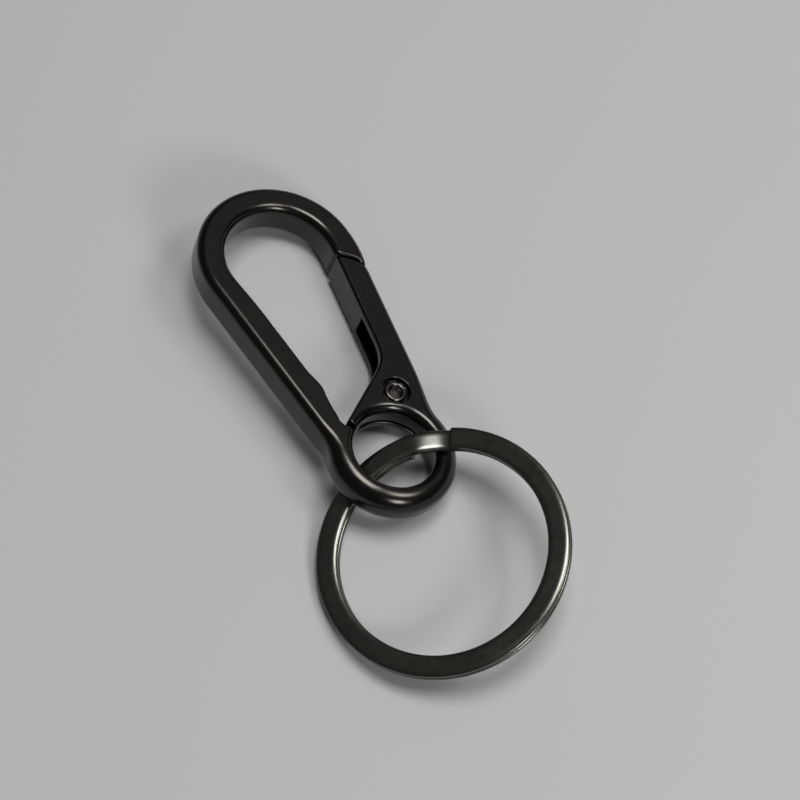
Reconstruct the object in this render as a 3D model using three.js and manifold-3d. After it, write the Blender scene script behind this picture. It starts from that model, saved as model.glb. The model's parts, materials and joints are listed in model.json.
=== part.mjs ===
// Carabiner keyring: a snap clip with an eye, and a flat split ring threaded through the eye.
// Units are millimetres, +Z is up, the hook points along +Y.
// The clip is drawn flat in its own plane (z = 0 is half its thickness), with the eye's centre
// at the origin and the spine parallel to Y, and is then laid on the ground as it rests.
import * as THREE from 'three';
import { mergeVertices } from 'three/addons/utils/BufferGeometryUtils.js';
import Module from 'manifold-3d';

const wasm = await Module();
wasm.setup();

// ---- driving dimensions ---------------------------------------------------------------------
const THICKNESS = 5.6;
const HALF = THICKNESS / 2;
const EYE_OUTER = 9.15;
const EYE_INNER = 5.85;
const HOOK = new THREE.Vector2(4.25, 32.8); // centre of the hook's bend
const HOOK_OUTER = 11.95;
const HOOK_INNER = 7.95;
const SIDE_SLANT = THREE.MathUtils.degToRad(14.1); // the gate side leans towards the eye
const WAIST_BLEND = 1.3; // length of the soft corner where a straight side meets the eye
const NOSE_CORNER_Y = 26.0; // from here up the nose bulges out of the gate's straight side
const NOSE_BULGE_Y = 28.6;
const NOSE_REACH = 12.17; // the nose's furthest point from the hook's centre, across the tip line
const EDGE_ROUND = 0.7; // rounding of the long edges
const EYE_ROUND = 1.4; // softer rounding round the eye, where the ring bears

const HORN_CORNER = new THREE.Vector2(-4.2, 6.2); // the spine's side of the gap at the horn's tip
const TIP_ALONG = new THREE.Vector2(0.475, -0.88); // direction of the face at the horn's tip
const SHOULDER = new THREE.Vector2(4.7, 10.9); // the horn's straight edge starts here
const ARM_BEND_Y = 15.2; // the gate's straight inner side ends here
const SHOULDER_BEND = 2.2; // reach of the curve between the two
const BUMP = new THREE.Vector2(-3.3, 12.4); // the spine's inner side swells towards the horn
const SCOOP = new THREE.Vector2(-4.3, 9.0);

const SEAT_CENTRE = new THREE.Vector2(5.3, 20.9); // the gate's rounded end sits in the nose
const SEAT_RADIUS = 10.32;
const LOW_FACE_ANGLE = THREE.MathUtils.degToRad(-10); // where the gate's cheeks end on the eye
const PART_GAP = 0.33; // gap between the closed gate and the frame
const TIP_GAP = 0.75; // wider gap at the horn's tip, which swings past the spine

const PIVOT = new THREE.Vector2(5.5, 7.1);
const GATE_OPENS = THREE.MathUtils.degToRad(22); // the gate's travel, into the loop
const PIN_RADIUS = 1.3;
const PIN_CLEARANCE = 0.06;
const COUNTERBORE_RADIUS = 2.05;
const COUNTERBORE_DEPTH = 0.9;
const RIM_RADIUS = 1.6; // the rivet's rolled rim
const RIVET_BORE = 0.95;
const RIVET_HEAD = 1.9;
const HEAD_PLAY = 0.03;

const POCKET_HALF = 1.05; // half height of the gate's pocket
const POCKET_REACH = 6.8; // how far the pocket runs round the pivot
const WEB = 0.9; // outer wall that joins the two cheeks
const SLOT_WALL = 2.5; // the gate's wall behind its slot
const SLOT_TOP = 19.4; // end of the slot in the gate's inner side
const SLOT_LOW = -1.9;
const SLOT_HIGH = 1.5;

const TAB_HALF = 0.85; // half thickness of the frame's pivot tab
const TAB_GAP = 0.35; // play between the tab and the pocket's walls
const TAB_RADIUS = 3.0; // at least this much metal round the pivot
const TAB_SETBACK = 0.9; // the tab's edge lies this far behind the horn's
const TAB_ROOT_FROM = THREE.MathUtils.degToRad(-25); // where the tab grows out of the eye's band
const TAB_ROOT_TO = THREE.MathUtils.degToRad(35);

const SPRING_WIRE = 0.3;
const SPRING_RADIUS = 1.85;
const SPRING_TURNS = 2;
const SPRING_LEG = 9.0;
const SPRING_LOW = -0.15; // height of the lowest turn's middle
const SPRING_SEAT = -0.35; // floor of the round recess the coils lie in
const RECESS_RADIUS = 2.25;
const SPRING_PLAY = 0.5; // room on each side of the leg

const RING_OUTER = 17.5;
const RING_WIDTH = 3.0;
const RING_LAYER = 0.92; // thickness of one turn
const RING_SEAM = 0.08; // gap between the two turns
const RING_MIDDLE = RING_OUTER - RING_WIDTH / 2;
const JOG_START = THREE.MathUtils.degToRad(60); // where the step between the two turns begins
const JOG_SPAN = THREE.MathUtils.degToRad(18);
const END_MARGIN = THREE.MathUtils.degToRad(1); // clearance of the free ends from the step

// how the parts lie: the clip leans on its gate side, the ring leans the other way
const CLIP_TILT = THREE.MathUtils.degToRad(16.32);
const RING_SWING = THREE.MathUtils.degToRad(-12.9);
const RING_PITCH = THREE.MathUtils.degToRad(-5.2);
const RING_ROLL = THREE.MathUtils.degToRad(-33.0);
const RING_CROSSING = new THREE.Vector3(0.2, 0, -0.3); // where the ring's wire passes the eye

const ARC_STEPS = 14; // points per curve of an outline
const ROUND_STEPS = 4; // facets across a rounded edge
const MERGE_DISTANCE = 1e-3;

// ---- materials --------------------------------------------------------------------------------
function metal(color, roughness) {
  return new THREE.MeshStandardMaterial({ color, roughness, metalness: 1 });
}
const gunmetal = metal(0x4a4845, 0.35);
const gunmetalGate = metal(0x474643, 0.36);
const rivetSteel = metal(0x6b6763, 0.28);
const springSteel = metal(0x8a8a88, 0.3);
const ringSteel = metal(0x5b5b57, 0.33);

// ---- solids -------------------------------------------------------------------------------------
function toSolid(geometry) {
  const plain = geometry.clone();
  plain.deleteAttribute('normal');
  plain.deleteAttribute('uv');
  const merged = mergeVertices(plain);
  return new wasm.Manifold(new wasm.Mesh({
    numProp: 3,
    vertProperties: Float32Array.from(merged.attributes.position.array),
    triVerts: Uint32Array.from(merged.index.array),
  }));
}

function toMesh(name, solid, material) {
  const data = solid.getMesh();
  const geometry = new THREE.BufferGeometry();
  geometry.setAttribute('position', new THREE.BufferAttribute(data.vertProperties, 3));
  geometry.setIndex(new THREE.BufferAttribute(data.triVerts, 1));
  geometry.computeVertexNormals();
  const mesh = new THREE.Mesh(geometry, material);
  mesh.name = name;
  return mesh;
}

// a path's points without the doubled ones, where one curve ends and the next begins
function distinct(path) {
  const points = path.getPoints(ARC_STEPS);
  return points.filter((point, i) => point.distanceTo(points.at(i - 1)) > MERGE_DISTANCE);
}

// a flat plate between two heights, with its edges rounded inwards
function plate(outline, low, high, { round = 0, holes = [] } = {}) {
  const shape = new THREE.Shape(distinct(outline));
  shape.holes = holes.map((hole) => new THREE.Path(distinct(hole)));
  const geometry = new THREE.ExtrudeGeometry(shape, {
    depth: high - low - 2 * round,
    steps: 1,
    bevelEnabled: round > 0,
    bevelThickness: round,
    bevelSize: round,
    bevelOffset: -round,
    bevelSegments: ROUND_STEPS - 1,
  });
  geometry.translate(0, 0, low + round);
  return toSolid(geometry);
}

function circle(centre, radius) {
  const path = new THREE.Path().absarc(centre.x, centre.y, radius, 0, Math.PI);
  return path.absarc(centre.x, centre.y, radius, Math.PI, 2 * Math.PI);
}

function disc(centre, radius, low, high) {
  return plate(circle(centre, radius), low, high);
}

// a ring sector between two radii and two angles
function sector(centre, inner, outer, from, to, low, high) {
  const path = new THREE.Path().absarc(centre.x, centre.y, outer, from, to);
  path.absarc(centre.x, centre.y, inner, to, from, true);
  return plate(path, low, high);
}

// ---- construction lines -------------------------------------------------------------------------
function onCircle(centre, radius, angle) {
  return new THREE.Vector2(centre.x + radius * Math.cos(angle), centre.y + radius * Math.sin(angle));
}

function stepped(point, direction, distance) {
  return point.clone().addScaledVector(direction, distance);
}

const ORIGIN = new THREE.Vector2(0, 0);
const DOWN = new THREE.Vector2(0, -1);
const armAlong = new THREE.Vector2(Math.sin(SIDE_SLANT), Math.cos(SIDE_SLANT));
const armNormal = new THREE.Vector2(armAlong.y, -armAlong.x);
const armOuterTop = onCircle(HOOK, HOOK_OUTER, -SIDE_SLANT);
const armInnerTop = onCircle(HOOK, HOOK_INNER, -SIDE_SLANT);
const armInverse = armAlong.clone().negate();
const SPINE_OUTER_X = HOOK.x - HOOK_OUTER;
const SPINE_INNER_X = HOOK.x - HOOK_INNER;

// the material on the inner side of a line through a point, seen against its outward normal
function behind(point, normal, low, high) {
  const reach = 60;
  const side = new THREE.Vector2(-normal.y, normal.x);
  const corners = [[0, -reach], [0, reach], [-reach, reach], [-reach, -reach]];
  const outline = new THREE.Path(corners.map(([depth, slide]) => (
    stepped(point, normal, depth).addScaledVector(side, slide))));
  return plate(outline, low, high);
}

// ---- body: the closed clip in one piece, later parted into frame and gate -----------------------
const TIP_NORMAL = new THREE.Vector2(TIP_ALONG.y, -TIP_ALONG.x);
const hornAlong = SHOULDER.clone().sub(HORN_CORNER).normalize();
const hornNormal = new THREE.Vector2(-hornAlong.y, hornAlong.x);

function outerOutline() {
  const blend = WAIST_BLEND / EYE_OUTER;
  const spineAngle = Math.PI - Math.acos(-SPINE_OUTER_X / EYE_OUTER);
  const gateAngle = Math.acos(armOuterTop.dot(armNormal) / EYE_OUTER) - SIDE_SLANT;
  const spineWaist = onCircle(ORIGIN, EYE_OUTER, spineAngle);
  const spineEnd = stepped(spineWaist, DOWN, -WAIST_BLEND);
  const eyeStart = onCircle(ORIGIN, EYE_OUTER, spineAngle + blend);
  const gateWaist = onCircle(ORIGIN, EYE_OUTER, gateAngle);
  const armStart = stepped(gateWaist, armAlong, WAIST_BLEND);
  const noseFoot = stepped(armOuterTop, armAlong, (NOSE_CORNER_Y - armOuterTop.y) / armAlong.y);
  const path = new THREE.Path();
  path.moveTo(noseFoot.x, noseFoot.y);
  path.quadraticCurveTo(HOOK.x + HOOK_OUTER, NOSE_BULGE_Y, HOOK.x + HOOK_OUTER, HOOK.y);
  path.absarc(HOOK.x, HOOK.y, HOOK_OUTER, 0, Math.PI);
  path.lineTo(spineEnd.x, spineEnd.y);
  path.quadraticCurveTo(spineWaist.x, spineWaist.y, eyeStart.x, eyeStart.y);
  path.absarc(0, 0, EYE_OUTER, spineAngle + blend, 2 * Math.PI + gateAngle - blend);
  path.quadraticCurveTo(gateWaist.x, gateWaist.y, armStart.x, armStart.y);
  return path;
}

// the hook's loop, with the spine's bump on one side and the horn on the other
function loopOutline() {
  const armFoot = stepped(armInnerTop, armInverse, (armInnerTop.y - ARM_BEND_Y) / armAlong.y);
  const armBend = stepped(armFoot, armInverse, SHOULDER_BEND);
  const shoulderBend = stepped(SHOULDER, hornAlong, SHOULDER_BEND);
  const path = new THREE.Path();
  path.absarc(HOOK.x, HOOK.y, HOOK_INNER, Math.PI, -SIDE_SLANT, true);
  path.lineTo(armFoot.x, armFoot.y);
  path.bezierCurveTo(armBend.x, armBend.y, shoulderBend.x, shoulderBend.y, ...SHOULDER);
  path.lineTo(HORN_CORNER.x, HORN_CORNER.y);
  path.quadraticCurveTo(SCOOP.x, SCOOP.y, BUMP.x - 0.35, BUMP.y - 1);
  path.bezierCurveTo(BUMP.x, BUMP.y, BUMP.x, BUMP.y + 0.6, SPINE_INNER_X, BUMP.y + 3);
  return path;
}

// the eye's round edge as a cutter: a plug whose foot swells to the eye's rounding
function eyeMouth() {
  const points = [new THREE.Vector2(0, HALF - EYE_ROUND)];
  for (let i = 0; i <= ROUND_STEPS; i += 1) {
    const angle = (i / ROUND_STEPS) * (Math.PI / 2);
    const radius = EYE_INNER + EYE_ROUND * (1 - Math.cos(angle));
    points.push(new THREE.Vector2(radius, HALF - EYE_ROUND * (1 - Math.sin(angle))));
  }
  points.push(new THREE.Vector2(EYE_INNER + EYE_ROUND, HALF + 1));
  points.push(new THREE.Vector2(0, HALF + 1));
  const geometry = new THREE.LatheGeometry(points, 2 * ARC_STEPS);
  geometry.rotateX(Math.PI / 2);
  return toSolid(geometry);
}

function bodySolid() {
  const holes = [loopOutline(), circle(ORIGIN, EYE_INNER)];
  const body = plate(outerOutline(), -HALF, HALF, { round: EDGE_ROUND, holes });
  const mouth = eyeMouth();
  return body.subtract(mouth).subtract(mouth.rotate([180, 0, 0]));
}

// everything on the gate's side of the three parting faces, grown by a gap
function gateRegion(gap, tipGap) {
  const far = 2 * HOOK_OUTER;
  const lowAngle = LOW_FACE_ANGLE - gap / EYE_INNER;
  const lowOuter = onCircle(ORIGIN, far, lowAngle);
  const lowInner = onCircle(ORIGIN, EYE_INNER / 2, lowAngle);
  const tip = stepped(HORN_CORNER, TIP_NORMAL, tipGap - TIP_GAP);
  const tipLow = stepped(tip, TIP_ALONG, 3.5);
  const tipHigh = stepped(tip, TIP_ALONG, -0.5);
  const path = new THREE.Path();
  path.moveTo(tipLow.x, tipLow.y);
  path.lineTo(lowInner.x, lowInner.y);
  path.lineTo(lowOuter.x, lowOuter.y);
  path.absarc(SEAT_CENTRE.x, SEAT_CENTRE.y, SEAT_RADIUS + gap, 0, 0.45 * Math.PI);
  path.lineTo(tipHigh.x, tipHigh.y);
  return plate(path, -THICKNESS, THICKNESS);
}

// ---- frame: hook, spine, eye and pivot tab in one casting ---------------------------------------
// the tab is a thin plate inside the gate's pocket, from the eye's band to past the pivot
function tabSolid() {
  const low = -TAB_HALF;
  const high = TAB_HALF;
  const wallDistance = armOuterTop.clone().sub(PIVOT).dot(armNormal) - WEB - TAB_GAP;
  const openNormal = armNormal.clone().rotateAround(ORIGIN, GATE_OPENS);
  const shutWall = behind(stepped(PIVOT, armNormal, wallDistance), armNormal, low, high);
  const openWall = behind(stepped(PIVOT, openNormal, wallDistance), openNormal, low, high);
  const round = disc(ORIGIN, EYE_OUTER - WEB - TAB_GAP, low, high);
  const inner = EYE_INNER + 0.25;
  const outer = EYE_OUTER - 1.25;
  const root = sector(ORIGIN, inner, outer, TAB_ROOT_FROM, TAB_ROOT_TO, low, high);
  return disc(PIVOT, POCKET_REACH - TAB_GAP, low, high)
    .intersect(shutWall.add(round))
    .intersect(openWall)
    .intersect(behind(stepped(SHOULDER, hornNormal, -TAB_SETBACK), hornNormal, low, high))
    .add(disc(PIVOT, TAB_RADIUS, low, high))
    .subtract(disc(ORIGIN, inner, low - 1, high + 1))
    .add(root);
}

// a round recess for the coils, with a channel for the straight leg
function springRecess() {
  const legStart = onCircle(PIVOT, SPRING_RADIUS, -SIDE_SLANT);
  const legEnd = stepped(legStart, armAlong, POCKET_REACH);
  const corners = [
    stepped(legStart, armNormal, SPRING_PLAY),
    stepped(legEnd, armNormal, SPRING_PLAY),
    stepped(legEnd, armNormal, -SPRING_PLAY),
    stepped(legStart, armNormal, -SPRING_PLAY),
  ];
  return disc(PIVOT, RECESS_RADIUS, SPRING_SEAT, HALF)
    .add(plate(new THREE.Path(corners), SPRING_SEAT, HALF));
}

function frameSolid() {
  const bore = disc(PIVOT, PIN_RADIUS + PIN_CLEARANCE, -HALF, HALF);
  return bodySolid().subtract(gateRegion(PART_GAP, TIP_GAP)).add(tabSolid())
    .subtract(bore).subtract(springRecess());
}

// ---- gate: a hollow lever with a horn that closes the eye ---------------------------------------
// room for the tab and the spring between the cheeks
function pocketSolid() {
  const low = -POCKET_HALF;
  const high = POCKET_HALF;
  const linePoint = stepped(armOuterTop, armNormal, -WEB);
  const round = disc(ORIGIN, EYE_OUTER - WEB, low, high);
  const from = TAB_ROOT_FROM - 0.1;
  const to = TAB_ROOT_TO + 0.17;
  const root = sector(ORIGIN, 1, EYE_OUTER - WEB, from, to, low, high);
  return disc(PIVOT, POCKET_REACH, low, high)
    .intersect(behind(linePoint, armNormal, low, high).add(round))
    .add(root);
}

// slot along the gate's inner side, open towards the hook's loop
function slotSolid() {
  const linePoint = stepped(armOuterTop, armNormal, -SLOT_WALL);
  const topPoint = stepped(armInnerTop, armAlong, (SLOT_TOP - armInnerTop.y) / armAlong.y);
  const lowPoint = new THREE.Vector2(PIVOT.x, PIVOT.y + 2.2);
  return behind(linePoint, armNormal, SLOT_LOW, SLOT_HIGH)
    .intersect(behind(topPoint, armAlong, SLOT_LOW, SLOT_HIGH))
    .intersect(behind(lowPoint, armInverse, SLOT_LOW, SLOT_HIGH));
}

function gateSolid() {
  const seat = HALF - COUNTERBORE_DEPTH;
  return bodySolid().intersect(gateRegion(0, 0))
    .subtract(pocketSolid())
    .subtract(slotSolid())
    .subtract(disc(PIVOT, PIN_RADIUS + PIN_CLEARANCE, -THICKNESS, THICKNESS))
    .subtract(disc(PIVOT, COUNTERBORE_RADIUS, seat, THICKNESS))
    .subtract(disc(PIVOT, COUNTERBORE_RADIUS, -THICKNESS, -seat));
}

// ---- rivet: semi-tubular, with its rolled rim on top --------------------------------------------
function rivetSolid() {
  const seat = HALF - COUNTERBORE_DEPTH + HEAD_PLAY;
  const top = HALF - 0.2;
  const base = -HALF + 0.15;
  const profile = [
    [0, base],
    [RIVET_HEAD - 0.4, base],
    [RIVET_HEAD, base + 0.3],
    [RIVET_HEAD, -seat],
    [PIN_RADIUS, -seat],
    [PIN_RADIUS, seat],
    [RIM_RADIUS, seat],
    [RIM_RADIUS, top - 0.25],
    [RIM_RADIUS - 0.12, top - 0.07],
    [RIM_RADIUS - 0.3, top],
    [RIVET_BORE + 0.2, top],
    [RIVET_BORE + 0.05, top - 0.1],
    [RIVET_BORE, top - 0.3],
    [RIVET_BORE, top - 0.85],
    [RIVET_BORE - 0.4, top - 0.72],
    [0, top - 0.65],
  ];
  const points = profile.map(([radius, height]) => new THREE.Vector2(radius, height));
  const geometry = new THREE.LatheGeometry(points, 2 * ARC_STEPS);
  geometry.rotateX(Math.PI / 2);
  geometry.translate(PIVOT.x, PIVOT.y, 0);
  return toSolid(geometry);
}

// ---- spring: two turns round the rivet, then a leg that presses on the gate's outer wall --------
class SpringPath extends THREE.Curve {
  getPoint(t, target = new THREE.Vector3()) {
    const coilShare = 0.75;
    const endAngle = -SIDE_SLANT;
    const startAngle = endAngle - 2 * Math.PI * SPRING_TURNS;
    const angle = startAngle + (endAngle - startAngle) * Math.min(t / coilShare, 1);
    const leg = Math.max(0, (t - coilShare) / (1 - coilShare)) * SPRING_LEG;
    const turned = (angle - startAngle) / (2 * Math.PI);
    const z = SPRING_LOW + (SPRING_WIRE + 0.02) * turned;
    const round = onCircle(PIVOT, SPRING_RADIUS, angle);
    return target.set(round.x - Math.sin(angle) * leg, round.y + Math.cos(angle) * leg, z);
  }
}

function springSolid() {
  const section = new THREE.Shape().absarc(0, 0, SPRING_WIRE / 2, 0, 2 * Math.PI);
  const geometry = new THREE.ExtrudeGeometry(section, {
    steps: 60,
    curveSegments: 6,
    bevelEnabled: false,
    extrudePath: new SpringPath(),
  });
  return toSolid(geometry);
}

// ---- split ring: flat wire wound twice, stepping from the upper to the lower turn ---------------
function ringSolid() {
  const segments = 150;
  const travel = 4 * Math.PI - JOG_SPAN - 2 * END_MARGIN;
  const lift = (RING_LAYER + RING_SEAM) / 2;
  const geometry = new THREE.BoxGeometry(1, RING_WIDTH, RING_LAYER, segments, 1, 1);
  const position = geometry.attributes.position;
  for (let i = 0; i < position.count; i += 1) {
    const sweep = END_MARGIN + (position.getX(i) + 0.5) * travel;
    const step = THREE.MathUtils.smoothstep(sweep, 2 * Math.PI - JOG_SPAN, 2 * Math.PI);
    const place = onCircle(ORIGIN, RING_MIDDLE + position.getY(i), JOG_START - sweep);
    position.setXYZ(i, place.x, place.y, position.getZ(i) + lift * (1 - 2 * step));
  }
  return toSolid(geometry);
}

// ---- assembly -----------------------------------------------------------------------------------
const clip = new THREE.Group();
clip.add(toMesh('frame', frameSolid(), gunmetal));
clip.add(toMesh('gate', gateSolid(), gunmetalGate));
clip.add(toMesh('pivot_rivet', rivetSolid(), rivetSteel));
clip.add(toMesh('gate_spring', springSolid(), springSteel));

const splitRing = toMesh('split_ring', ringSolid(), ringSteel);
splitRing.position.y = -RING_MIDDLE;
const ringHolder = new THREE.Group();
ringHolder.position.copy(RING_CROSSING);
ringHolder.rotation.set(RING_PITCH, RING_ROLL, RING_SWING, 'ZXY');
ringHolder.add(splitRing);
clip.add(ringHolder);

// turn the clip so that eye and hook lie along Y, then tip it over the line under its gate side
const heading = Math.atan2(HOOK.x, HOOK.y);
const spread = Math.asin((NOSE_REACH - EYE_OUTER) / HOOK.length());
const tipLine = new THREE.Vector3(Math.sin(spread), Math.cos(spread), 0);
clip.quaternion.setFromAxisAngle(tipLine, CLIP_TILT)
  .multiply(new THREE.Quaternion().setFromAxisAngle(new THREE.Vector3(0, 0, 1), heading));

// stand the whole object on z = 0, centred over the origin
const keyring = new THREE.Group();
keyring.name = 'carabiner_keyring';
keyring.add(clip);
keyring.updateMatrixWorld(true);
const bounds = new THREE.Box3().setFromObject(keyring, true);
const middle = bounds.getCenter(new THREE.Vector3());
clip.position.set(-middle.x, -middle.y, -bounds.min.z);

export default keyring;
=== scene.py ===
"""Carabiner keyring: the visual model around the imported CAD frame.

Lengths in the making of the pieces are millimetres, in the clip's own plane: the origin is the
eye's centre, x points to the gate side, y along the spine, and z = 0 is half the thickness.
"""
import json
import math

import bpy
import numpy as np
from mathutils import Matrix, Vector


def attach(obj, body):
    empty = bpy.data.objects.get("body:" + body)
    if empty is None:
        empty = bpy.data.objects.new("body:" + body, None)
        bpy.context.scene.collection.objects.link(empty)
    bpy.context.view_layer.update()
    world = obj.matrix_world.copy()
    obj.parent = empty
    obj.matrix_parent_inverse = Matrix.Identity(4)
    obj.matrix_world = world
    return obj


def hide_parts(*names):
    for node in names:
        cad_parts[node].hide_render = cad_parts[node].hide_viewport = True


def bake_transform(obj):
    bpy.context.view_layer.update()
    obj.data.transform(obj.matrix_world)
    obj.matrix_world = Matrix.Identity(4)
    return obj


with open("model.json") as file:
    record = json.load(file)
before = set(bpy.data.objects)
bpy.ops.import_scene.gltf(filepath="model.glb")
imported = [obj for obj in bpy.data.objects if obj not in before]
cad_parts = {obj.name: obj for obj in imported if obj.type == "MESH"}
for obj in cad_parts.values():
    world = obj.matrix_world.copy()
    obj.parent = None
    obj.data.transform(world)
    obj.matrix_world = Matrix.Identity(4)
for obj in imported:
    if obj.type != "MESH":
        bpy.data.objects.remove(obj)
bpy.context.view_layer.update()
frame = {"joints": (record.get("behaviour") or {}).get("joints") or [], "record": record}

MM = 0.001

# ---- driving dimensions -------------------------------------------------------------------------
HALF = 2.8
EYE_OUTER = 9.15
EYE_INNER = 5.85
HOOK = np.array([4.25, 32.8])
HOOK_OUTER = 11.95
HOOK_INNER = 7.95
NOSE_REACH = 12.17      # the nose's furthest point from the hook's centre
SLANT = math.radians(14.1)

OUTER_ROUND = 1.25      # roundings of the long edges
OUTER_ROUND_EYE = 2.4
EYE_ROUND_FADE = (9, 0)  # heights between which the rim's rounding grows to the eye's
LOOP_ROUND = 0.6
BEND_ROUND = 1.3        # the loop's edge at the hook's bend
BEND_FADE = (26, 35)    # heights between which the loop's rounding grows to the bend's
GATE_ROUND = 0.5
GATE_FADE = 0.6         # half the width over which the gate's rounding becomes the loop's
EYE_ROUND = 1.35
PART_ROUND = 0.22       # roundings where frame and gate meet
SEAT_ROUND = 0.55       # softer one on the frame's seat for the gate's end
SEAT_FADE = (18, 22)    # heights between which the frame's rounding grows to the seat's
CUT_ROUND = 0.12

WAIST = 1.6             # length of the blend between the eye and the straight sides
NOSE_CORNER_Y = 26.0    # where the nose's bulge leaves the gate's line
NOSE_BULGE_Y = 28.6     # control point of the bulge
ARM_FOOT_Y = 15.2       # where the gate's inner side begins to bend to the shoulder
SHOULDER_BEND = 2.2
BUMP = np.array([-3.3, 12.4])       # corner of the step inside the spine
SCOOP = np.array([-4.3, 9.0])       # hollow between that step and the horn's tip

SEAT_CENTRE = np.array([5.3, 20.9])
SEAT_RADIUS = 10.32
LOW_FACE = math.radians(-10)
PART_GAP = 0.33
TIP_GAP = 0.75          # wider gap at the horn's tip
TIP_FADE = (1, -1)      # where across the clip the gap widens
TIP_REACH = 3.5         # how far the tip's parting face runs on into the eye
TIP_RISE = 0.5          # and how far it runs on above the tip

PIVOT = np.array([5.5, 7.1])
GATE_OPENS = math.radians(22)
PIN_RADIUS = 1.3
BORE_RADIUS = 1.36
COUNTERBORE_RADIUS = 2.05
COUNTERBORE_DEPTH = 0.9
POCKET_HALF = 1.05
POCKET_REACH = 6.8
WEB = 0.9
SLOT_TOP = 19.4
SLOT_WALL = 2.5
SLOT_FOOT = 2.2         # the slot's lower end, above the pivot
SLOT_LOW = -1.9
SLOT_HIGH = 1.5
TAB_HALF = 0.85
TAB_GAP = 0.35
TAB_RADIUS = 3.0
TAB_SETBACK = 0.9
TAB_EYE_SETBACK = 0.25  # the tab stands back from the eye's bore
TAB_ROOT_REACH = 1.25   # how far the tab's root runs into the eye's band
TAB_ROOT = (math.radians(-25), math.radians(35))
TAB_ROOT_PLAY = 0.8     # room in the gate beside the tab's root

SPRING_WIRE = 0.3
SPRING_PITCH = SPRING_WIRE + 0.02
SPRING_RADIUS = 1.85
SPRING_TURNS = 2
SPRING_LEG = 9.0
SPRING_LOW = -0.15
SPRING_SEAT = -0.35
RECESS_RADIUS = 2.25
SPRING_PLAY = 0.5       # room on each side of the leg
CHANNEL_STEPS = 6       # places of the leg, from shut to open, that the channel is cut for

RIVET_RIM = 1.6
RIVET_BORE = 0.95
RIVET_HEAD = 1.9
RIVET_HEAD_ROUND = 0.45
RIVET_CHAMFER = 0.05
RIVET_RIM_CHAMFER = 0.06
RIVET_SEAT_GAP = 0.03
RIVET_TOP = HALF - 0.2
RIVET_BASE = -HALF + 0.15
RIVET_BORE_DEPTH = 0.7
RIVET_DOME_DEPTH = 0.75
RIVET_DOME_RADIUS = RIVET_BORE - 0.05
RIVET_DOME_RISE = 0.18 * RIVET_DOME_RADIUS
RIVET_TURNS = 72        # points round the rivet

RING_OUTER = 17.5
RING_WIDTH = 3.0
RING_LAYER = 0.92
RING_SEAM = 0.08
RING_EDGE = 0.33        # rounding of the flat wire's corners
RING_CROWN = 0.8        # how far the corners' curve reaches into the wire's face
RING_MIDDLE = RING_OUTER - RING_WIDTH / 2
JOG_START = math.radians(60)
JOG_SPAN = math.radians(18)
END_MARGIN = math.radians(1)

CELL = 0.15             # size of the quads of the cast pieces
PLAN_CELL = CELL / 2
PLAN_LOW, PLAN_HIGH = (-10.0, -10.0), (17.0, 46.0)
FRAME_BOX = (-9.6, -9.6, -3.2), (16.8, 45.2, 3.4)
GATE_BOX = (-5.2, -3.2, -3.2), (16.4, 31.4, 3.4)

# ---- where the clip and the ring lie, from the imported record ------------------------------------
joints = {joint["name"]: joint for joint in frame["joints"]}
mounts = {mount["name"]: mount for mount in frame["record"]["mounts"]}


def clip_matrix():
    """Places the clip's plane, in millimetres, in the row frame, in metres."""
    hinge = joints["gate_hinge"]
    normal = Vector(hinge["axis"]).normalized()
    heading = math.atan2(HOOK[0], HOOK[1])
    spread = math.asin((NOSE_REACH - EYE_OUTER) / float(np.hypot(*HOOK)))
    tip_line = Vector((math.sin(spread), math.cos(spread), 0))
    lean = Matrix.Rotation(math.acos(normal.z), 3, tip_line)
    turn = lean @ Matrix.Rotation(-heading, 3, "Z").inverted()
    origin = Vector(hinge["pos_m"]) - turn @ Vector((*PIVOT, 0)) * MM
    return Matrix.Translation(origin) @ turn.to_4x4() @ Matrix.Scale(MM, 4)


def ring_matrix():
    """Places the ring's own plane, centred on the ring, in the row frame."""
    centre = Vector(mounts["key_ring_inside"]["pos_m"])
    across = -Vector(joints["ring_swing"]["axis"]).normalized()
    normal = Vector(mounts["key_ring_inside"]["axis"]).normalized()
    side = across.cross(normal)
    turn = Matrix((side, across, normal)).transposed()
    return Matrix.Translation(centre) @ turn.to_4x4() @ Matrix.Scale(MM, 4)


CLIP = clip_matrix()
RING = ring_matrix()

# ---- outlines -----------------------------------------------------------------------------------
ALONG = np.array([math.sin(SLANT), math.cos(SLANT)])      # up the gate
SIDE = np.array([ALONG[1], -ALONG[0]])                    # out of the gate


def on_circle(centre, radius, angle):
    x, y = centre
    return np.array([x + radius * math.cos(angle), y + radius * math.sin(angle)])


def arc(centre, radius, start, end, steps=90):
    return [on_circle(centre, radius, a) for a in np.linspace(start, end, steps)]


def bezier(*control, steps=16):
    """Points on a curve of any degree, without its first one."""
    points = []
    for t in np.linspace(0, 1, steps + 1)[1:]:
        level = [np.array(p, float) for p in control]
        while len(level) > 1:
            level = [a + (b - a) * t for a, b in zip(level, level[1:])]
        points.append(level[0])
    return points


ORIGIN = np.zeros(2)
ARM_OUTER = on_circle(HOOK, HOOK_OUTER, -SLANT)
ARM_INNER = on_circle(HOOK, HOOK_INNER, -SLANT)
SPINE_OUTER_X = HOOK[0] - HOOK_OUTER
SPINE_INNER_X = HOOK[0] - HOOK_INNER
HORN_CORNER = np.array([-4.2, 6.2])
TIP_ALONG = np.array([0.475, -0.88])
TIP_NORMAL = np.array([TIP_ALONG[1], -TIP_ALONG[0]])
SHOULDER = np.array([4.7, 10.9])
HORN_ALONG = (SHOULDER - HORN_CORNER) / float(np.hypot(*(SHOULDER - HORN_CORNER)))
HORN_NORMAL = np.array([-HORN_ALONG[1], HORN_ALONG[0]])


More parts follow.
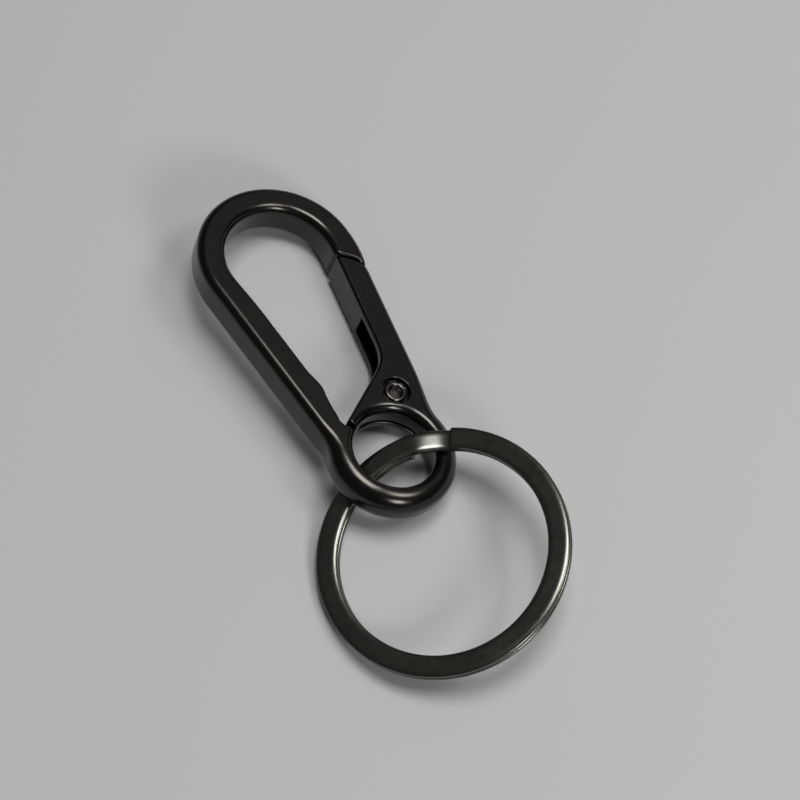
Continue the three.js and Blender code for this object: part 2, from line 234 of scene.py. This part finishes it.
def outer_outline():
    """The clip's outer edge, shut: nose, hook, spine, eye and gate."""
    blend = WAIST / EYE_OUTER
    spine_angle = math.pi - math.acos(-SPINE_OUTER_X / EYE_OUTER)
    gate_angle = math.acos(float(ARM_OUTER @ SIDE) / EYE_OUTER) - SLANT
    spine_waist = on_circle(ORIGIN, EYE_OUTER, spine_angle)
    gate_waist = on_circle(ORIGIN, EYE_OUTER, gate_angle)
    spine_end = spine_waist + [0, WAIST]
    arm_start = gate_waist + ALONG * WAIST
    eye_from, eye_to = spine_angle + blend, 2 * math.pi + gate_angle - blend
    nose_foot = ARM_OUTER + ALONG * (NOSE_CORNER_Y - ARM_OUTER[1]) / ALONG[1]
    nose_top = HOOK + [HOOK_OUTER, 0]
    points = [nose_foot]
    points += bezier(nose_foot, [nose_top[0], NOSE_BULGE_Y], nose_top)
    points += arc(HOOK, HOOK_OUTER, 0, math.pi)[1:]
    points += [spine_end]
    points += bezier(spine_end, spine_waist, on_circle(ORIGIN, EYE_OUTER, eye_from))
    points += arc(ORIGIN, EYE_OUTER, eye_from, eye_to)[1:]
    points += bezier(on_circle(ORIGIN, EYE_OUTER, eye_to), gate_waist, arm_start)
    return np.array(points)


def loop_outline():
    """The edge of the opening between the hook, the spine, the horn and the gate."""
    arm_foot = ARM_INNER - ALONG * (ARM_INNER[1] - ARM_FOOT_Y) / ALONG[1]
    arm_bend = arm_foot - ALONG * SHOULDER_BEND
    neck = BUMP + [-0.35, -1]
    points = arc(HOOK, HOOK_INNER, math.pi, -SLANT)
    points += [arm_foot]
    points += bezier(arm_foot, arm_bend, SHOULDER + HORN_ALONG * SHOULDER_BEND, SHOULDER)
    points += [HORN_CORNER]
    points += bezier(HORN_CORNER, SCOOP, neck)
    points += bezier(neck, BUMP, BUMP + [0, 0.6], [SPINE_INNER_X, BUMP[1] + 3])
    return np.array(points)


def gate_outline():
    """Everything on the gate's side of the three parting faces."""
    tip = HORN_CORNER - TIP_NORMAL * TIP_GAP
    points = [
        tip + TIP_ALONG * TIP_REACH,
        on_circle(ORIGIN, EYE_INNER / 2, LOW_FACE),
        on_circle(ORIGIN, 2 * HOOK_OUTER, LOW_FACE),
    ]
    points += arc(SEAT_CENTRE, SEAT_RADIUS, 0, 0.45 * math.pi)
    points += [tip - TIP_ALONG * TIP_RISE]
    return np.array(points)


def to_outline(x, y, outline):
    """Signed distance to a closed outline, below zero inside it."""
    nearest = np.full(x.shape, 1e9)
    inside = np.zeros(x.shape, bool)
    for a, b in zip(outline, np.roll(outline, -1, 0)):
        run = b - a
        px, py = x - a[0], y - a[1]
        t = np.clip((px * run[0] + py * run[1]) / max(run @ run, 1e-12), 0, 1)
        np.minimum(nearest, (px - t * run[0]) ** 2 + (py - t * run[1]) ** 2, out=nearest)
        if a[1] != b[1]:
            crosses = (a[1] > y) != (b[1] > y)
            inside ^= crosses & (px < py * run[0] / run[1])
    return np.where(inside, -1, 1) * np.sqrt(nearest)


# ---- solids as distance functions ---------------------------------------------------------------
def line(p, point, normal):
    """Distance in front of a line."""
    return (p["x"] - point[0]) * normal[0] + (p["y"] - point[1]) * normal[1]


def both(a, b, radius):
    """What lies in a and in b, with the edge between them rounded."""
    ua, ub = np.maximum(a + radius, 0), np.maximum(b + radius, 0)
    return np.minimum(-radius, np.maximum(a, b)) + np.hypot(ua, ub)


def smooth(low, high, value):
    """0 at low, 1 at high, and an even curve between them."""
    t = np.clip((value - low) / (high - low), 0, 1)
    return t * t * (3 - 2 * t)


def body(p, z):
    """The closed clip in one piece."""
    faces = abs(z) - HALF
    rim = OUTER_ROUND + (OUTER_ROUND_EYE - OUTER_ROUND) * smooth(*EYE_ROUND_FADE, p["y"])
    loop = LOOP_ROUND + (BEND_ROUND - LOOP_ROUND) * smooth(*BEND_FADE, p["y"])
    inner = GATE_ROUND + (loop - GATE_ROUND) * smooth(-GATE_FADE, GATE_FADE, p["gate"])
    eye = EYE_INNER - p["eye"]
    solid = np.maximum(both(p["outer"], faces, rim), both(-p["loop"], faces, inner))
    return np.maximum(solid, both(eye, faces, EYE_ROUND))


def tab_plan(p):
    """The hidden tab that the gate turns on, clear of the gate from shut to open."""
    wall = float((ARM_OUTER - PIVOT) @ SIDE) - WEB - TAB_GAP
    turn = np.array([[math.cos(GATE_OPENS), -math.sin(GATE_OPENS)],
                     [math.sin(GATE_OPENS), math.cos(GATE_OPENS)]])
    shut = line(p, PIVOT + SIDE * wall, SIDE)
    opened = line(p, PIVOT + turn @ SIDE * wall, turn @ SIDE)
    upper = line(p, SHOULDER - HORN_NORMAL * TAB_SETBACK, HORN_NORMAL)
    hole = EYE_INNER + TAB_EYE_SETBACK - p["eye"]
    beside = np.minimum(shut, p["eye"] - EYE_OUTER + WEB + TAB_GAP)
    plate = np.maximum(p["pivot"] - POCKET_REACH + TAB_GAP, beside)
    plate = np.maximum(np.maximum(plate, opened), upper)
    plate = np.maximum(np.minimum(plate, p["pivot"] - TAB_RADIUS), hole)
    root = np.maximum(hole, p["eye"] - EYE_OUTER + TAB_ROOT_REACH)
    root = np.maximum(root, root_sector(p, 0))
    return np.minimum(plate, root)


def root_sector(p, grow):
    """The part of the eye's band that carries the tab, widened on both sides."""
    low, high = TAB_ROOT
    below = line(p, ORIGIN, (math.sin(low), -math.cos(low)))
    above = line(p, ORIGIN, (-math.sin(high), math.cos(high)))
    return np.maximum(below, above) - grow


def frame_solid(p, z):
    gap = PART_GAP + (TIP_GAP - PART_GAP) * smooth(*TIP_FADE, p["x"])
    edge = PART_ROUND + (SEAT_ROUND - PART_ROUND) * smooth(*SEAT_FADE, p["y"])
    solid = both(body(p, z), gap - p["gate"], edge)
    solid = np.minimum(solid, both(tab_plan(p), abs(z) - TAB_HALF, CUT_ROUND))
    solid = both(solid, BORE_RADIUS - p["pivot"], CUT_ROUND)
    recess = p["pivot"] - RECESS_RADIUS
    half_reach = POCKET_REACH / 2
    for angle in np.linspace(0, GATE_OPENS, CHANNEL_STEPS) - SLANT:
        leg = on_circle(PIVOT, SPRING_RADIUS, angle)
        side = np.array([math.cos(angle), math.sin(angle)])
        reach = abs(line(p, leg, (-side[1], side[0])) - half_reach) - half_reach
        recess = np.minimum(recess, np.maximum(abs(line(p, leg, side)) - SPRING_PLAY, reach))
    return np.maximum(solid, -np.maximum(recess, SPRING_SEAT - z))


def gate_solid(p, z):
    solid = both(body(p, z), p["gate"], PART_ROUND)
    wall = line(p, ARM_OUTER, SIDE) + WEB
    pocket = np.maximum(p["pivot"] - POCKET_REACH, np.minimum(wall, p["eye"] - EYE_OUTER + WEB))
    root = np.maximum(p["eye"] - EYE_OUTER + WEB, root_sector(p, TAB_ROOT_PLAY))
    pocket = np.minimum(pocket, root)
    solid = both(solid, -np.maximum(pocket, abs(z) - POCKET_HALF), CUT_ROUND)
    end = line(p, ARM_INNER + ALONG * (SLOT_TOP - ARM_INNER[1]) / ALONG[1], ALONG)
    slot = np.maximum(line(p, ARM_OUTER - SIDE * SLOT_WALL, SIDE), end)
    slot = np.maximum(slot, line(p, PIVOT + [0, SLOT_FOOT], -ALONG))
    slot = np.maximum(slot, np.maximum(z - SLOT_HIGH, SLOT_LOW - z))
    solid = both(solid, -slot, CUT_ROUND)
    solid = both(solid, BORE_RADIUS - p["pivot"], CUT_ROUND)
    seat = np.maximum(p["pivot"] - COUNTERBORE_RADIUS, HALF - COUNTERBORE_DEPTH - abs(z))
    return both(solid, -seat, CUT_ROUND)


# ---- meshes -------------------------------------------------------------------------------------
class Plan:
    """Distances in the clip's plane, kept on a fine grid."""

    def __init__(self):
        xs, ys = (np.arange(a, b, PLAN_CELL) for a, b in zip(PLAN_LOW, PLAN_HIGH))
        x, y = np.meshgrid(xs, ys, indexing="ij")
        self.fields = {
            "x": x,
            "y": y,
            "eye": np.hypot(x, y),
            "pivot": np.hypot(x - PIVOT[0], y - PIVOT[1]),
            "outer": to_outline(x, y, outer_outline()),
            "loop": to_outline(x, y, loop_outline()),
            "gate": to_outline(x, y, gate_outline()),
        }

    def at(self, x, y):
        """Every distance at some points, by linear interpolation."""
        u = (x - PLAN_LOW[0]) / PLAN_CELL
        v = (y - PLAN_LOW[1]) / PLAN_CELL
        shape = self.fields["x"].shape
        i = np.clip(u.astype(int), 0, shape[0] - 2)
        j = np.clip(v.astype(int), 0, shape[1] - 2)
        u, v = u - i, v - j
        found = {}
        for name, f in self.fields.items():
            low = f[i, j] * (1 - u) + f[i + 1, j] * u
            high = f[i, j + 1] * (1 - u) + f[i + 1, j + 1] * u
            found[name] = low * (1 - v) + high * v
        return found


CORNERS = [np.array([i, j, k]) for i in (0, 1) for j in (0, 1) for k in (0, 1)]
EDGES = [(a, b) for a in CORNERS for b in CORNERS if (b - a).sum() == 1 and (b - a).min() == 0]


def net(volume):
    """One point in each cell that the surface crosses, and the quads that join them."""
    inside = volume < 0
    n = np.array(volume.shape) - 1
    views = [inside[c[0]:c[0] + n[0], c[1]:c[1] + n[1], c[2]:c[2] + n[2]] for c in CORNERS]
    filled = np.sum(views, 0)
    cells = np.argwhere((filled > 0) & (filled < 8))
    number = np.full(n, -1)
    number[tuple(cells.T)] = np.arange(len(cells))
    total, hits = np.zeros((len(cells), 3)), np.zeros(len(cells))
    for a, b in EDGES:
        va, vb = volume[tuple((cells + a).T)], volume[tuple((cells + b).T)]
        crosses = (va < 0) != (vb < 0)
        t = np.where(crosses, va / np.where(crosses, va - vb, 1), 0)
        total += np.where(crosses[:, None], a + t[:, None] * (b - a), 0)
        hits += crosses
    points = cells + total / hits[:, None]
    quads = []
    for axis in range(3):
        one, two = np.eye(3, dtype=int)[(axis + 1) % 3], np.eye(3, dtype=int)[(axis + 2) % 3]
        step = np.eye(3, dtype=int)[axis]
        low = inside[tuple(slice(0, -1) if a == axis else slice(None) for a in range(3))]
        high = inside[tuple(slice(1, None) if a == axis else slice(None) for a in range(3))]
        for leaving in (True, False):
            at = np.argwhere(low & ~high if leaving else high & ~low)
            ring = [at - one - two, at - two, at, at - one]
            quad = np.stack([number[tuple(c.T)] for c in ring], 1)
            quads.append(quad if leaving else quad[:, ::-1])
    return points, np.concatenate(quads)


def cast(name, plan, solid, box):
    """A cast piece's mesh: the zero surface of a distance function in the clip's plane."""
    low, high = np.array(box, float)
    xs, ys, zs = (np.arange(a, b, CELL) for a, b in zip(low, high))
    x, y = np.meshgrid(xs, ys, indexing="ij")
    p = {key: value[:, :, None] for key, value in plan.at(x, y).items()}
    points, quads = net(solid(p, zs[None, None, :] + np.zeros((1, 1, 1))))
    points = low + points * CELL

    def distance(q):
        return solid(plan.at(q[:, 0], q[:, 1]), q[:, 2])

    step = 0.3 * CELL
    for _ in range(4):
        slope = np.stack([distance(points + d) - distance(points - d) for d in np.eye(3) * step], 1)
        slope /= np.linalg.norm(slope, axis=1)[:, None] + 1e-9
        points = points - slope * np.clip(distance(points), -CELL, CELL)[:, None]
    return mesh_object(name, points, quads, CLIP, slope)


def mesh_object(name, points, faces, matrix, normals=None):
    """An object in the row frame from points in a piece's own frame."""
    mesh = bpy.data.meshes.new(name)
    mesh.from_pydata([tuple(p) for p in points], [], [tuple(int(i) for i in f) for f in faces])
    mesh.transform(matrix)
    mesh.shade_smooth()
    if normals is not None:
        turn = np.array(matrix.to_3x3().normalized())
        mesh.normals_split_custom_set_from_vertices([tuple(v) for v in normals @ turn.T])
    obj = bpy.data.objects.new(name, mesh)
    bpy.context.scene.collection.objects.link(obj)
    return obj


def sweep(name, centres, out, up, section, matrix, swell=None):
    """A closed tube: a section carried along a line of centres, with both ends filled."""
    n, m = len(centres), len(section)
    swell = np.ones((n, 2)) if swell is None else swell
    across = section[None, :, 0, None] * out[:, None, :] * swell[:, None, :1]
    rise = section[None, :, 1, None] * up[:, None, :] * swell[:, None, 1:]
    points = (centres[:, None, :] + across + rise).reshape(-1, 3)
    i, j = np.meshgrid(np.arange(n - 1), np.arange(m), indexing="ij")
    a, b = i * m + j, i * m + (j + 1) % m
    quads = np.stack([a, b, b + m, a + m], -1).reshape(-1, 4)
    faces = [list(q) for q in quads] + [list(range(m))[::-1], list(range((n - 1) * m, n * m))]
    return mesh_object(name, points, faces, matrix)


def rounded_section(width, height, crown, edge, steps=8):
    """Points round a rectangle with elliptical corners, ordered so that a sweep faces outwards."""
    points = []
    for sx, sy, quarter in [(1, 1, 0), (-1, 1, 1), (-1, -1, 2), (1, -1, 3)]:
        centre = (sx * (width / 2 - crown), sy * (height / 2 - edge))
        for x, y in arc(ORIGIN, 1, quarter * math.pi / 2, (quarter + 1) * math.pi / 2, steps):
            points.append(np.array([centre[0] + crown * x, centre[1] + edge * y]))
        if sx * sy > 0:
            flat = np.linspace(centre[0], -centre[0], 8)[1:-1]
            points += [np.array([x, sy * height / 2]) for x in flat]
    return np.array(points)


def split_ring():
    """Flat wire wound twice, stepping from the upper turn to the lower one."""
    steps = 900
    travel = 4 * math.pi - JOG_SPAN - 2 * END_MARGIN
    length = RING_MIDDLE * travel
    # closer steps along the two rounded ends
    ends = np.array([0, 0.03, 0.08, 0.15, 0.22]) / length
    run = np.linspace(0.3 / length, 1 - 0.3 / length, steps)
    t = np.concatenate([ends, run, 1 - ends[::-1]])
    swept = END_MARGIN + t * travel
    stepped = smooth(2 * math.pi - JOG_SPAN, 2 * math.pi, swept)
    lift = (RING_LAYER + RING_SEAM) / 2 * (1 - 2 * stepped)
    angle = JOG_START - swept
    out = np.stack([np.cos(angle), np.sin(angle), 0 * angle], 1)
    up = np.tile([0.0, 0.0, 1.0], (len(t), 1))
    centres = out * RING_MIDDLE + up * lift[:, None]
    away = np.minimum(t, 1 - t) * RING_MIDDLE * travel
    back = np.clip(1 - away / RING_EDGE, 0, 1)
    inset = RING_EDGE * (1 - np.sqrt(1 - back ** 2))
    swell = np.stack([1 - 2 * inset / RING_WIDTH, 1 - 2 * inset / RING_LAYER], 1)
    section = rounded_section(RING_WIDTH, RING_LAYER, RING_CROWN, RING_EDGE)
    return sweep("split_ring_wire", centres, out, up, section, RING, swell)


def gate_spring():
    """Two turns of round wire and a straight leg."""
    coil_steps, leg_steps = 120, 40
    end = -SLANT
    start = end - 2 * math.pi * SPRING_TURNS
    angle = np.concatenate([np.linspace(start, end, coil_steps), np.full(leg_steps, end)])
    leg = np.concatenate([np.zeros(coil_steps), np.linspace(0, SPRING_LEG, leg_steps + 1)[1:]])
    z = SPRING_LOW + SPRING_PITCH * (angle - start) / (2 * math.pi)
    out = np.stack([np.cos(angle), np.sin(angle), 0 * angle], 1)
    run = np.stack([-np.sin(angle), np.cos(angle), 0 * angle], 1)
    axis = np.stack([PIVOT[0] + 0 * z, PIVOT[1] + 0 * z, z], 1)
    centres = out * SPRING_RADIUS + run * leg[:, None] + axis
    up = np.tile([0.0, 0.0, 1.0], (len(z), 1))
    section = np.array(arc(ORIGIN, SPRING_WIRE / 2, 0, 2 * math.pi, 13))[:-1]
    return sweep("gate_spring_wire", centres, out, up, section, CLIP)


def rivet_profile():
    """Radius and height from the middle of the lower head to the bottom of the upper bore."""
    seat = HALF - COUNTERBORE_DEPTH + RIVET_SEAT_GAP
    base, top, head, rim = RIVET_BASE, RIVET_TOP, RIVET_HEAD, RIVET_RIM
    roll = (rim - RIVET_BORE) / 2
    corner = head - RIVET_HEAD_ROUND
    points = [(0, base), (head * 0.5, base), (corner, base)]
    points += arc((corner, base + RIVET_HEAD_ROUND), RIVET_HEAD_ROUND, -math.pi / 2, 0, 8)[1:]
    points += [(head, -seat - RIVET_CHAMFER), (head - RIVET_CHAMFER, -seat)]
    points += [(PIN_RADIUS, -seat), (PIN_RADIUS, seat)]
    points += [(rim - RIVET_RIM_CHAMFER, seat), (rim, seat + RIVET_RIM_CHAMFER)]
    points += arc((rim - roll, top - roll), roll, 0, math.pi, 16)
    points += [(RIVET_BORE, top - RIVET_BORE_DEPTH)]
    for a in np.linspace(0, math.pi / 2, 10):
        rise = RIVET_DOME_RISE * math.sin(a)
        points.append((RIVET_DOME_RADIUS * math.cos(a), top - RIVET_DOME_DEPTH + rise))
    return points


def rivet():
    """A semi-tubular rivet: a low head below, a rolled rim above."""
    profile = rivet_profile()
    turns = RIVET_TURNS
    angle = np.arange(turns) * 2 * math.pi / turns
    rings = profile[1:-1]
    points = [(PIVOT[0], PIVOT[1], profile[0][1])]
    for r, z in rings:
        points += [(PIVOT[0] + r * math.cos(a), PIVOT[1] + r * math.sin(a), z) for a in angle]
    points.append((PIVOT[0], PIVOT[1], profile[-1][1]))
    last = len(points) - 1
    faces = []
    for k in range(turns):
        n = (k + 1) % turns
        faces.append((0, 1 + n, 1 + k))
        for row in range(len(rings) - 1):
            a = 1 + row * turns
            faces.append((a + k, a + n, a + turns + n, a + turns + k))
        a = 1 + (len(rings) - 1) * turns
        faces.append((a + k, a + n, last))
    obj = mesh_object("rivet_turned", points, faces, CLIP)
    obj.data.set_sharp_from_angle(angle=math.radians(50))
    return obj


# ---- materials ----------------------------------------------------------------------------------
def link(tree, source, target):
    tree.links.new(source, target)


def noise(tree, coordinates, scale, detail):
    mapping = tree.nodes.new("ShaderNodeMapping")
    mapping.inputs["Scale"].default_value = [scale] * 3
    link(tree, coordinates, mapping.inputs["Vector"])
    node = tree.nodes.new("ShaderNodeTexNoise")
    node.inputs["Scale"].default_value = 1.0
    node.inputs["Detail"].default_value = detail
    link(tree, mapping.outputs["Vector"], node.inputs["Vector"])
    return node.outputs["Fac"]


def spread(tree, value, low, high, to_low, to_high):
    """Carries a value from one range to another."""
    node = tree.nodes.new("ShaderNodeMapRange")
    link(tree, value, node.inputs["Value"])
    node.inputs["From Min"].default_value = low
    node.inputs["From Max"].default_value = high
    node.inputs["To Min"].default_value = to_low
    node.inputs["To Max"].default_value = to_high
    return node.outputs["Result"]


def mix(tree, factor, a, b):
    node = tree.nodes.new("ShaderNodeMix")
    node.data_type = "RGBA"
    link(tree, factor, node.inputs["Factor"])
    for value, socket in ((a, node.inputs["A"]), (b, node.inputs["B"])):
        if isinstance(value, tuple):
            socket.default_value = (*value, 1)
        else:
            link(tree, value, socket)
    return node.outputs["Result"]


def calculate(tree, operation, a, b):
    node = tree.nodes.new("ShaderNodeMath")
    node.operation = operation
    link(tree, a, node.inputs[0])
    link(tree, b, node.inputs[1])
    return node.outputs[0]


CLOUD_SCALE = 180       # noise scales, per metre
SPECK_SCALE = 2600
HAIR_SCALE = 900
WEAR_AND_SHEEN_SCALE = 700
CLOUD_ROUGHNESS = 0.015
HAIR_ROUGHNESS = 0.02
RELIEF_STRENGTH = 0.065
RELIEF_DEPTH = 0.004 * MM


def plated(name, dark, light, worn_and_sheen_colour, rough):
    """Satin metal plating: cloudy tone, fine orange peel, hairline scratches, and convex edges
    painted brighter, partly as rubbed plating and partly as a painted highlight.
    """
    material = bpy.data.materials.new(name)
    material.use_nodes = True
    tree = material.node_tree
    shader = tree.nodes["Principled BSDF"]
    where = tree.nodes.new("ShaderNodeTexCoord").outputs["Object"]
    clouds = noise(tree, where, CLOUD_SCALE, 4)
    speck = noise(tree, where, SPECK_SCALE, 2)
    hair = noise(tree, where, HAIR_SCALE, 2)
    tone = mix(tree, spread(tree, clouds, 0.35, 0.65, 0, 1), dark, light)
    # Convex edges found by pointiness are painted brighter in patches: partly rubbed plating, partly
    # a painted highlight along the edges.
    edge = tree.nodes.new("ShaderNodeNewGeometry").outputs["Pointiness"]
    patches = spread(tree, noise(tree, where, WEAR_AND_SHEEN_SCALE, 3), 0.3, 0.7, 0.2, 1)
    wear_and_sheen_mask = calculate(tree, "MULTIPLY", spread(tree, edge, 0.52, 0.60, 0, 1), patches)
    link(tree, mix(tree, wear_and_sheen_mask, tone, worn_and_sheen_colour), shader.inputs["Base Color"])
    shader.inputs["Metallic"].default_value = 1
    low, high = rough - CLOUD_ROUGHNESS, rough + CLOUD_ROUGHNESS
    cloudy = spread(tree, clouds, 0.3, 0.7, low, high)
    scratched = spread(tree, hair, 0.3, 0.7, -HAIR_ROUGHNESS, HAIR_ROUGHNESS)
    link(tree, calculate(tree, "ADD", cloudy, scratched), shader.inputs["Roughness"])
    bump = tree.nodes.new("ShaderNodeBump")
    bump.inputs["Strength"].default_value = RELIEF_STRENGTH
    bump.inputs["Distance"].default_value = RELIEF_DEPTH
    link(tree, calculate(tree, "ADD", speck, hair), bump.inputs["Height"])
    link(tree, bump.outputs["Normal"], shader.inputs["Normal"])
    return material


def paper(name):
    """The pale floor."""
    material = bpy.data.materials.new(name)
    material.use_nodes = True
    tree = material.node_tree
    shader = tree.nodes["Principled BSDF"]
    where = tree.nodes.new("ShaderNodeTexCoord").outputs["Object"]
    clouds = noise(tree, where, 14, 3)
    tone = mix(tree, clouds, (0.548, 0.547, 0.545), (0.562, 0.561, 0.559))
    link(tree, tone, shader.inputs["Base Color"])
    shader.inputs["Roughness"].default_value = 0.85
    shader.inputs["Specular IOR Level"].default_value = 0.2
    return material


def finish_piece(obj, material, node):
    obj.data.materials.clear()
    obj.data.materials.append(material)
    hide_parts(node)


def wind(spring):
    """Bakes the spring's placement into its mesh."""
    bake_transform(spring)


plan = Plan()
# Each finish's third colour goes on convex edges: partly rubbed plating, partly a painted highlight.
casting = plated(
    "gunmetal_casting", dark=(0.050, 0.047, 0.043), light=(0.056, 0.052, 0.047),
    worn_and_sheen_colour=(0.100, 0.094, 0.086), rough=0.21)
gate_casting = plated(
    "gunmetal_gate", dark=(0.048, 0.046, 0.043), light=(0.053, 0.051, 0.047),
    worn_and_sheen_colour=(0.090, 0.086, 0.080), rough=0.20)
ring_wire = plated(
    "dark_nickel_wire", dark=(0.140, 0.138, 0.123), light=(0.148, 0.146, 0.131),
    worn_and_sheen_colour=(0.170, 0.168, 0.150), rough=0.24)
rivet_metal = plated(
    "rivet_nickel", dark=(0.12, 0.11, 0.105), light=(0.15, 0.14, 0.13),
    worn_and_sheen_colour=(0.28, 0.26, 0.25), rough=0.25)
spring_steel = plated(
    "spring_steel", dark=(0.30, 0.30, 0.29), light=(0.36, 0.36, 0.35),
    worn_and_sheen_colour=(0.45, 0.45, 0.44), rough=0.28)

body_piece = cast("clip_frame", plan, frame_solid, FRAME_BOX)
gate_piece = cast("clip_gate", plan, gate_solid, GATE_BOX)
rivet_piece = rivet()
spring_piece = gate_spring()
ring_piece = split_ring()
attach(body_piece, "frame")
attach(gate_piece, "gate")
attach(rivet_piece, "frame")
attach(ring_piece, "split_ring")
wind(spring_piece)
finish_piece(body_piece, casting, "frame")
finish_piece(gate_piece, gate_casting, "gate")
finish_piece(rivet_piece, rivet_metal, "pivot_rivet")
finish_piece(spring_piece, spring_steel, "gate_spring")
finish_piece(ring_piece, ring_wire, "split_ring")

# ---- floor, camera and light --------------------------------------------------------------------
FLOOR_HALF = 2.0
floor_mesh = bpy.data.meshes.new("floor")
quarters = ((-1, -1), (1, -1), (1, 1), (-1, 1))
floor_corners = [(x * FLOOR_HALF, y * FLOOR_HALF, 0) for x, y in quarters]
floor_mesh.from_pydata(floor_corners, [], [(0, 1, 2, 3)])
floor = bpy.data.objects.new("floor", floor_mesh)
bpy.context.scene.collection.objects.link(floor)
floor.data.materials.append(paper("floor_paper"))

CAMERA_TARGET = Vector((0.007600, 0.002961, 0))
CAMERA_DISTANCE = 0.31864
CAMERA_ELEVATION = math.radians(64.445)
CAMERA_HEADING = math.radians(32.786)    # from +Y towards +X
CAMERA_ROLL = math.radians(3.710)
FOCAL_LENGTH = 102.06


def view_axes():
    """Right, up and back of the camera, before its roll."""
    level, drop = math.cos(CAMERA_ELEVATION), math.sin(CAMERA_ELEVATION)
    ahead, aside = math.cos(CAMERA_HEADING), math.sin(CAMERA_HEADING)
    forward = Vector((level * aside, level * ahead, -drop))
    right = forward.cross(Vector((0, 0, 1))).normalized()
    return right, right.cross(forward), -forward


right, up, back = view_axes()
camera_data = bpy.data.cameras.new("camera")
camera_data.lens = FOCAL_LENGTH
camera_data.clip_start = 0.01
camera = bpy.data.objects.new("camera", camera_data)
turn = Matrix((right, up, back)).transposed() @ Matrix.Rotation(CAMERA_ROLL, 3, "Z")
camera.matrix_world = Matrix.Translation(CAMERA_TARGET + back * CAMERA_DISTANCE) @ turn.to_4x4()
bpy.context.scene.collection.objects.link(camera)
bpy.context.scene.camera = camera
bpy.context.scene.view_settings.view_transform = "Standard"


def area_light(name, direction, distance, size, power):
    """A square soft light that looks at the object from a direction."""
    data = bpy.data.lights.new(name, "AREA")
    data.size = size
    data.energy = power
    lamp = bpy.data.objects.new(name, data)
    direction = Vector(direction).normalized()
    facing = direction.to_track_quat("Z", "Y").to_matrix().to_4x4()
    lamp.matrix_world = Matrix.Translation(direction * distance) @ facing
    bpy.context.scene.collection.objects.link(lamp)


def seen_from(azimuth, elevation):
    """A direction by its angle round the picture, from the picture's right, and its height."""
    a, e = math.radians(azimuth), math.radians(elevation)
    flat_right = Vector((right.x, right.y, 0)).normalized()
    flat_up = Vector((-flat_right.y, flat_right.x, 0))
    level = flat_right * math.cos(a) + flat_up * math.sin(a)
    return level * math.cos(e) + Vector((0, 0, math.sin(e)))


world = bpy.data.worlds.new("studio")
bpy.context.scene.world = world
world.use_nodes = True
background = world.node_tree.nodes["Background"]
background.inputs["Color"].default_value = (1.0, 0.995, 0.98, 1)
background.inputs["Strength"].default_value = 0.08

area_light("overhead", seen_from(60, 80), distance=0.8, size=0.31, power=2.9)
area_light("key", seen_from(0, 57), distance=0.6, size=0.16, power=0.72)
area_light("front", seen_from(-55, 34), distance=0.6, size=0.14, power=0.82)
area_light("fill", seen_from(55, 42), distance=1.2, size=1.2, power=0.9)
